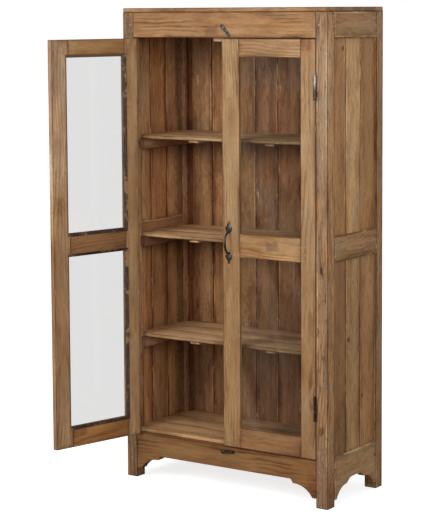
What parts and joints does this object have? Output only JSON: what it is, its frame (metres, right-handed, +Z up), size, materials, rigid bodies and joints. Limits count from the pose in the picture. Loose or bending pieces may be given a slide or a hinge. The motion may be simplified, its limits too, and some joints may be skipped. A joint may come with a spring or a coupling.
{
  "type": "display cabinet",
  "caption": "Tall free-standing display cabinet in reclaimed wood, with glazed hinged doors, shelves, a bow handle and turn-button catches.",
  "frame": {"origin": "on the floor, at the middle of the four posts' footprint", "axes": "+X to the viewer's right facing the doors, +Y from the doors into the cabinet, +Z up"},
  "size_m": [0.942, 0.8002, 1.8],
  "materials": {
    "teak_posts": "worn oiled",
    "teak_top": "worn oiled",
    "teak_front": "worn oiled",
    "teak_side": "weathered",
    "teak_planks": "weathered",
    "teak_back": "weathered",
    "teak_shelves": "worn",
    "teak_cleats": "rough",
    "teak_doors": "worn oiled",
    "teak_pegs": "end grain",
    "pale_wood": "sawn",
    "glass": "old clear glass",
    "putty": "painted putty",
    "iron": "blackened, rubbed",
    "hinge_steel": "worn steel"
  },
  "bodies": {
    "carcass": {"front_left_post": "teak_posts", "front_right_post": "teak_posts", "rear_left_post": "teak_posts", "rear_right_post": "teak_posts", "top_board": "teak_top", "front_top_rail": "teak_front", "front_bottom_rail": "teak_front", "rear_top_rail": "teak_back", "rear_bottom_rail": "teak_back", "left_top_rail": "teak_side", "left_middle_rail": "teak_side", "left_bottom_rail": "teak_side", "left_upper_planks": "teak_planks", "left_lower_planks": "teak_planks", "right_top_rail": "teak_side", "right_middle_rail": "teak_side", "right_bottom_rail": "teak_side", "right_upper_planks": "teak_planks", "right_lower_planks": "teak_planks", "back_boards": "teak_back", "floor_boards": "teak_shelves", "floor_cleats": "teak_cleats", "upper_shelf": "teak_shelves", "middle_shelf": "teak_shelves", "lower_shelf": "teak_shelves", "shelf_battens": "teak_cleats", "left_shelf_cleats": "teak_cleats", "right_shelf_cleats": "teak_cleats", "door_stop": "pale_wood", "frame_pegs": "teak_pegs", "hinge_frame_leaves": "hinge_steel", "hinge_pins": "hinge_steel", "turn_button_screws": "iron"},
    "left_door": {"left_door_hinge_stile": "teak_doors", "left_door_meeting_stile": "teak_doors", "left_door_top_rail": "teak_doors", "left_door_middle_rail": "teak_doors", "left_door_bottom_rail": "teak_doors", "left_door_upper_glass": "glass", "left_door_lower_glass": "glass", "left_door_putty": "putty", "left_door_pegs": "teak_pegs", "left_door_hinge_leaves": "hinge_steel"},
    "right_door": {"right_door_hinge_stile": "teak_doors", "right_door_meeting_stile": "teak_doors", "right_door_top_rail": "teak_doors", "right_door_middle_rail": "teak_doors", "right_door_bottom_rail": "teak_doors", "right_door_upper_glass": "glass", "right_door_lower_glass": "glass", "right_door_putty": "putty", "right_door_pegs": "teak_pegs", "right_door_hinge_leaves": "hinge_steel", "door_handle": "iron"},
    "top_turn_button": {"top_turn_button": "iron"},
    "bottom_turn_button": {"bottom_turn_button": "iron"}
  },
  "joints": [
    {"name": "left_door_hinge", "type": "hinge", "parent": "carcass", "child": "left_door", "pos_m": [-0.401, -0.2058, 0.94], "axis": [0, 0, -1], "range_deg": [-104, 71]},
    {"name": "right_door_hinge", "type": "hinge", "parent": "carcass", "child": "right_door", "pos_m": [0.401, -0.2058, 0.94], "axis": [0, 0, 1], "range_deg": [0, 175]},
    {"name": "top_button_pivot", "type": "hinge", "parent": "carcass", "child": "top_turn_button", "pos_m": [0.003, -0.2, 1.733], "axis": [0, -1, 0], "continuous": true},
    {"name": "bottom_button_pivot", "type": "hinge", "parent": "carcass", "child": "bottom_turn_button", "pos_m": [-0.002, -0.2, 0.153], "axis": [0, -1, 0], "continuous": true}
  ]
}
